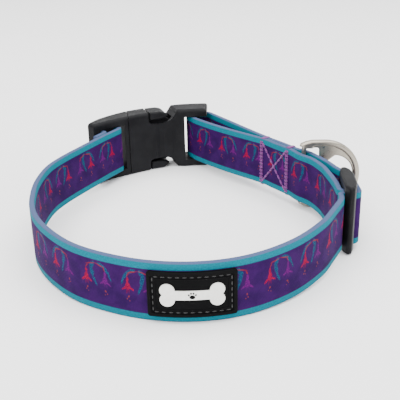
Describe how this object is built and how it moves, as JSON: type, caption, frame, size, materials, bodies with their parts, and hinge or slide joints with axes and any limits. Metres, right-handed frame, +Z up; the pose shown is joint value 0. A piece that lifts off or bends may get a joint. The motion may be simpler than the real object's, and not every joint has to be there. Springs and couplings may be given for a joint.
{
  "type": "flat adjustable dog collar with side-release buckle",
  "caption": "Printed webbing dog collar, buckled in a loop, with a contoured side-release buckle, tri-glide slider, leash D-ring and label.",
  "frame": {"origin": "centre of the bounding box at the bottom, where the collar stands on its lower edge", "axes": "+Z up along the webbing's width, +Y from the label at the front to the buckle at the back, +X to the side with the slider and D-ring"},
  "size_m": [0.1562, 0.1832, 0.0355],
  "materials": {
    "webbing_print": "sublimation-printed polyester webbing, smooth weave",
    "black_acetal": "fine moulded satin",
    "satin_nickel": "satin nickel plate over a die casting",
    "label_rubber": "moulded soft rubber with a raised border",
    "emblem_white": "raised white infill",
    "magenta_thread": "bonded polyester thread"
  },
  "bodies": {
    "collar_back": {"buckle_socket": "black_acetal", "webbing_inner": "webbing_print", "webbing_outer": "webbing_print", "webbing_socket_fold": "webbing_print", "bar_tack_left": "magenta_thread", "bar_tack_right": "magenta_thread", "cross_stitch_inner": "magenta_thread", "cross_stitch_outer": "magenta_thread", "webbing_inner_flex": "webbing_print", "webbing_outer_flex": "webbing_print", "webbing_front_flex": "webbing_print"},
    "free_strap": {"webbing_front": "webbing_print", "webbing_left": "webbing_print", "webbing_plug_fold": "webbing_print", "buckle_plug": "black_acetal", "label_patch": "label_rubber", "label_emblem": "emblem_white"},
    "upper_button": {"prong_upper": "black_acetal"},
    "lower_button": {"prong_lower": "black_acetal"},
    "leash_ring": {"d_ring": "satin_nickel"},
    "slider_block": {"slider": "black_acetal", "webbing_sewn_loop": "webbing_print", "webbing_slider_pass": "webbing_print"}
  },
  "joints": [
    {"name": "collar_open", "type": "hinge", "parent": "collar_back", "child": "free_strap", "pos_m": [0.04744, -0.05929, 0.0145], "axis": [0, 0, 1], "range_deg": [0, 25], "deforming": ["prong_upper", "prong_lower"]},
    {"name": "press_upper_button", "type": "hinge", "parent": "free_strap", "child": "upper_button", "pos_m": [-0.04054, 0.07302, 0.0273], "axis": [-0.4043, 0.9146, 0], "range_deg": [0, 5.5], "stiffness_Nm_per_rad": 0.5},
    {"name": "press_lower_button", "type": "hinge", "parent": "free_strap", "child": "lower_button", "pos_m": [-0.04054, 0.07302, 0.0071], "axis": [0.4043, -0.9146, 0], "range_deg": [0, 5.5], "stiffness_Nm_per_rad": 0.5},
    {"name": "ring_swing", "type": "hinge", "parent": "collar_back", "child": "leash_ring", "pos_m": [0.05014, 0.01591, 0.0178], "axis": [0, 0, 1], "range_deg": [0, 84]},
    {"name": "slider_adjust", "type": "slide", "parent": "collar_back", "child": "slider_block", "axis": [0.052, 0.9986, 0], "range_m": [-0.004, 0.008], "deforming": ["webbing_inner_flex", "webbing_outer_flex", "webbing_front_flex"]}
  ]
}
